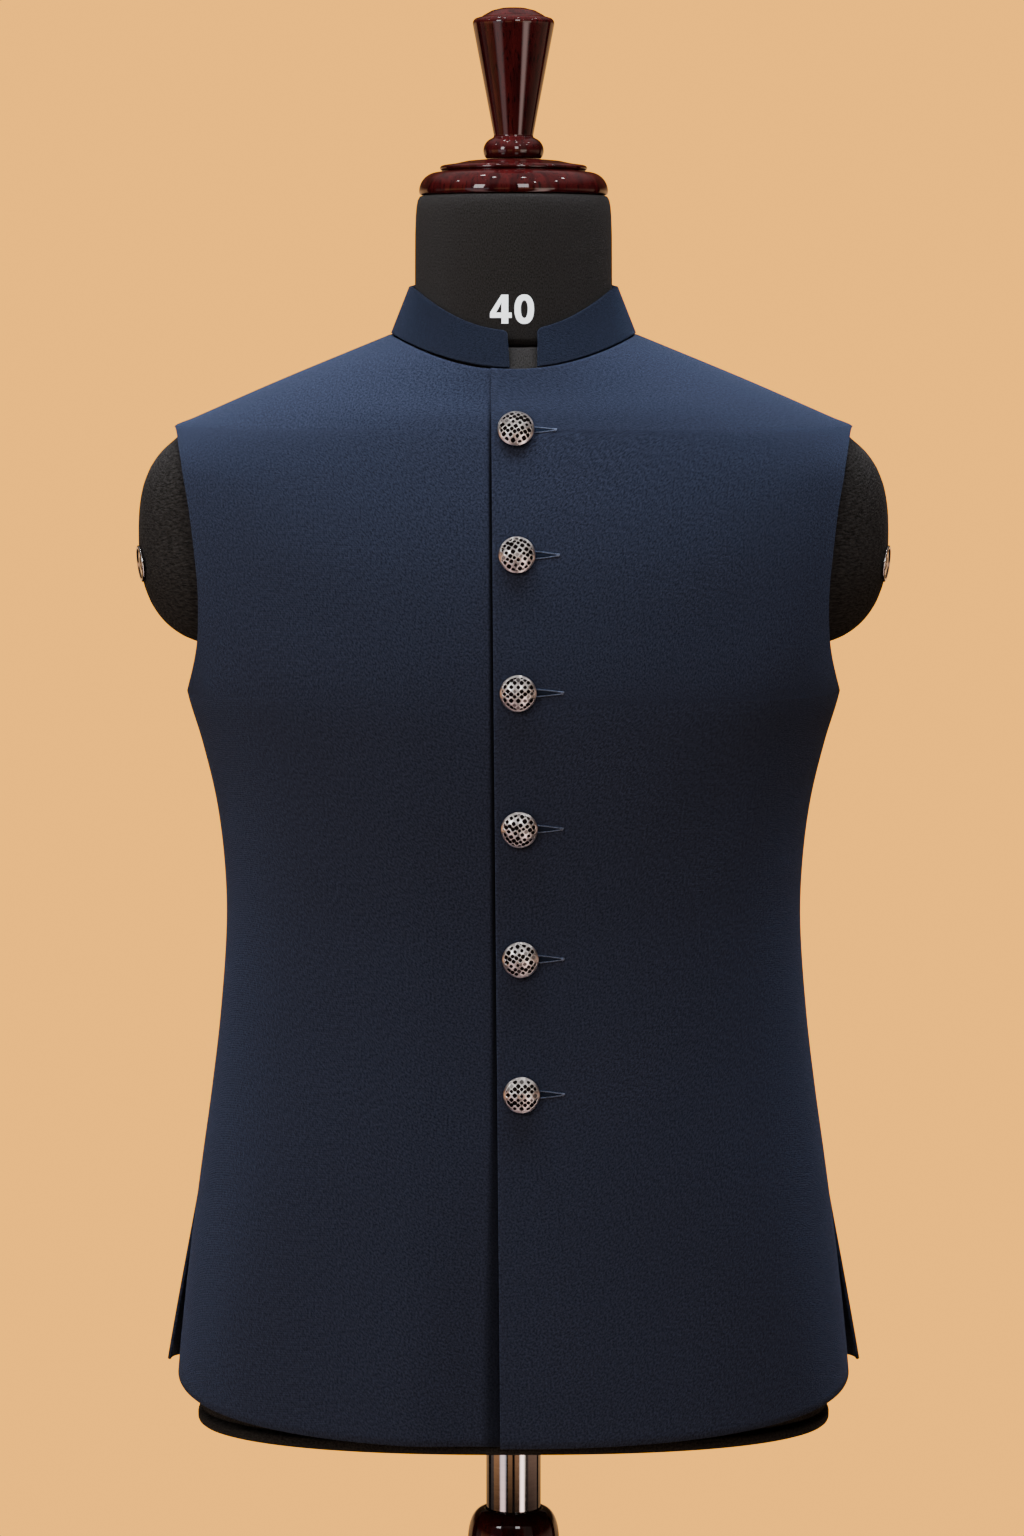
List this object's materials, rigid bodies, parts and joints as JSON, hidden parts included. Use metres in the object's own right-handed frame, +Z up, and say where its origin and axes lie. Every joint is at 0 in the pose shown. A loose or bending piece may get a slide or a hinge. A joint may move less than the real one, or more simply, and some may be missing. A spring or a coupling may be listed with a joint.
{
  "type": "sleeveless band-collar waistcoat on a limbless dress form with a turned stand",
  "caption": "Sleeveless buttoned waistcoat with a band collar, worn by a limbless tailor's dress form on a turned wooden stand.",
  "frame": {"origin": "middle of the stand's foot, on the floor", "axes": "+Z up the stand's pole, the garment's front faces -Y, +X is the wearer's left"},
  "size_m": [0.49, 0.38, 1.6605],
  "materials": {
    "suiting": "matt navy wool suiting with a close weave",
    "form_jersey": "matt black stretched jersey",
    "mahogany": "dark red-brown wood under clear gloss lacquer",
    "chrome": "polished chrome plate",
    "antique_silver": "polished hammered metal with darkened pits"
  },
  "bodies": {
    "root": {"front_left": "suiting", "front_right": "suiting", "back": "suiting", "collar": "suiting", "button_1": "antique_silver", "button_2": "antique_silver", "button_3": "antique_silver", "button_4": "antique_silver", "button_5": "antique_silver", "button_6": "antique_silver", "form_torso": "form_jersey", "form_neck": "form_jersey", "form_board": "form_jersey", "arm_ring_left": "chrome", "arm_ring_right": "chrome", "neck_cap": "mahogany", "finial": "mahogany", "pole": "chrome", "stand_column": "mahogany", "stand_foot": "mahogany"}
  },
  "joints": []
}
